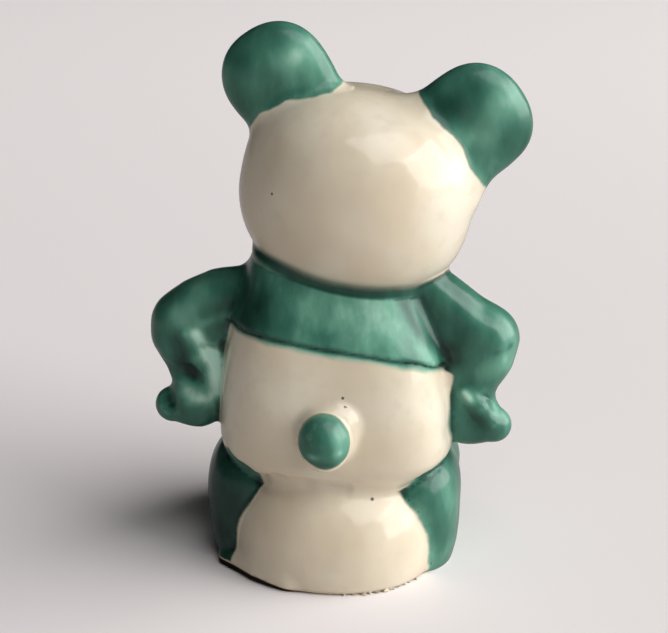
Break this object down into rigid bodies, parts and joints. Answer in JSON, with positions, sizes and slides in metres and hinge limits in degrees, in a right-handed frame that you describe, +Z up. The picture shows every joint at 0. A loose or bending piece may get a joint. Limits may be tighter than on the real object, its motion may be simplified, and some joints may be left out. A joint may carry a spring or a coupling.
{
  "type": "panda figurine",
  "caption": "Small glazed earthenware panda sitting on a rounded mound with its hands on its hips; stands on a shelf as an ornament.",
  "frame": {"origin": "on the surface that the figurine stands on, under the middle of its outer box", "axes": "+Z up, -Y the way the face looks, +X towards the figure's own left side"},
  "size_m": [0.0492, 0.0392, 0.072],
  "materials": {
    "cream_glaze": "glossy lead glaze over a cream slip",
    "green_glaze": "glossy glaze over brushed copper green"
  },
  "bodies": {
    "root": {"seat_mound": "cream_glaze", "torso": "cream_glaze", "head": "cream_glaze", "left_ear": "green_glaze", "right_ear": "green_glaze", "left_arm": "green_glaze", "right_arm": "green_glaze", "left_leg": "green_glaze", "right_leg": "green_glaze", "tail": "green_glaze", "tail_slip_bead": "cream_glaze"}
  },
  "joints": []
}
